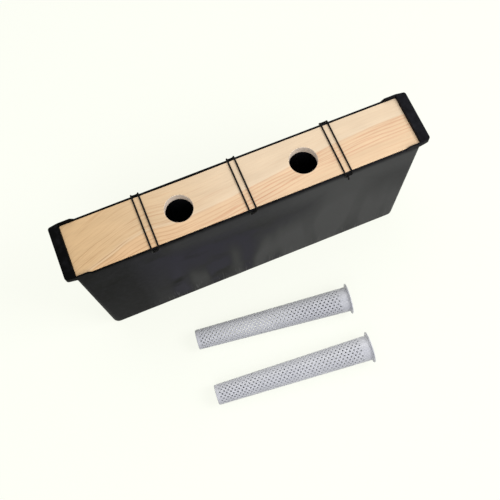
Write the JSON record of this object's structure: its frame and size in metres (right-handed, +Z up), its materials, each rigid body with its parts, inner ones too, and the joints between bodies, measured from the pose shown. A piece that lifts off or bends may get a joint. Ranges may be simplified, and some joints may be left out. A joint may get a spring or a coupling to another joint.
{
  "type": "frame feeder",
  "caption": "Deep hive feeder tub with frame ears, a drilled wooden cap board tied down by wire clips, and loose perforated climbing ladders.",
  "frame": {"origin": "middle of the tub's base, on the floor that the tub and the ladders stand on", "axes": "+X along the feeder's length, +Y to the back, away from the ladders, +Z up"},
  "size_m": [0.482, 0.2832, 0.235],
  "materials": {
    "tub_plastic": "black moulded plastic with a soft sheen",
    "pine": "planed, bare",
    "black_wire": "black coated spring wire",
    "ladder_plastic": "pale grey translucent plastic"
  },
  "bodies": {
    "tub": {"tub": "tub_plastic"},
    "cap_board": {"cap_board": "pine"},
    "wire_clip_1": {"wire_clip_1": "black_wire"},
    "wire_clip_2": {"wire_clip_2": "black_wire"},
    "wire_clip_3": {"wire_clip_3": "black_wire"},
    "ladder_1": {"ladder_1": "ladder_plastic"},
    "ladder_2": {"ladder_2": "ladder_plastic"}
  },
  "joints": [
    {"name": "cap_board_lift", "type": "slide", "parent": "tub", "child": "cap_board", "axis": [0, 0, 1], "range_m": [0, 0.06]},
    {"name": "wire_clip_1_pull", "type": "slide", "parent": "cap_board", "child": "wire_clip_1", "axis": [0, 0, 1], "range_m": [0, 0.03]},
    {"name": "wire_clip_2_pull", "type": "slide", "parent": "cap_board", "child": "wire_clip_2", "axis": [0, 0, 1], "range_m": [0, 0.03]},
    {"name": "wire_clip_3_pull", "type": "slide", "parent": "cap_board", "child": "wire_clip_3", "axis": [0, 0, 1], "range_m": [0, 0.03]},
    {"name": "ladder_1_lift", "type": "slide", "parent": "tub", "child": "ladder_1", "axis": [0, 0, 1], "range_m": [0, 0.25]},
    {"name": "ladder_2_lift", "type": "slide", "parent": "tub", "child": "ladder_2", "axis": [0, 0, 1], "range_m": [0, 0.25]}
  ]
}
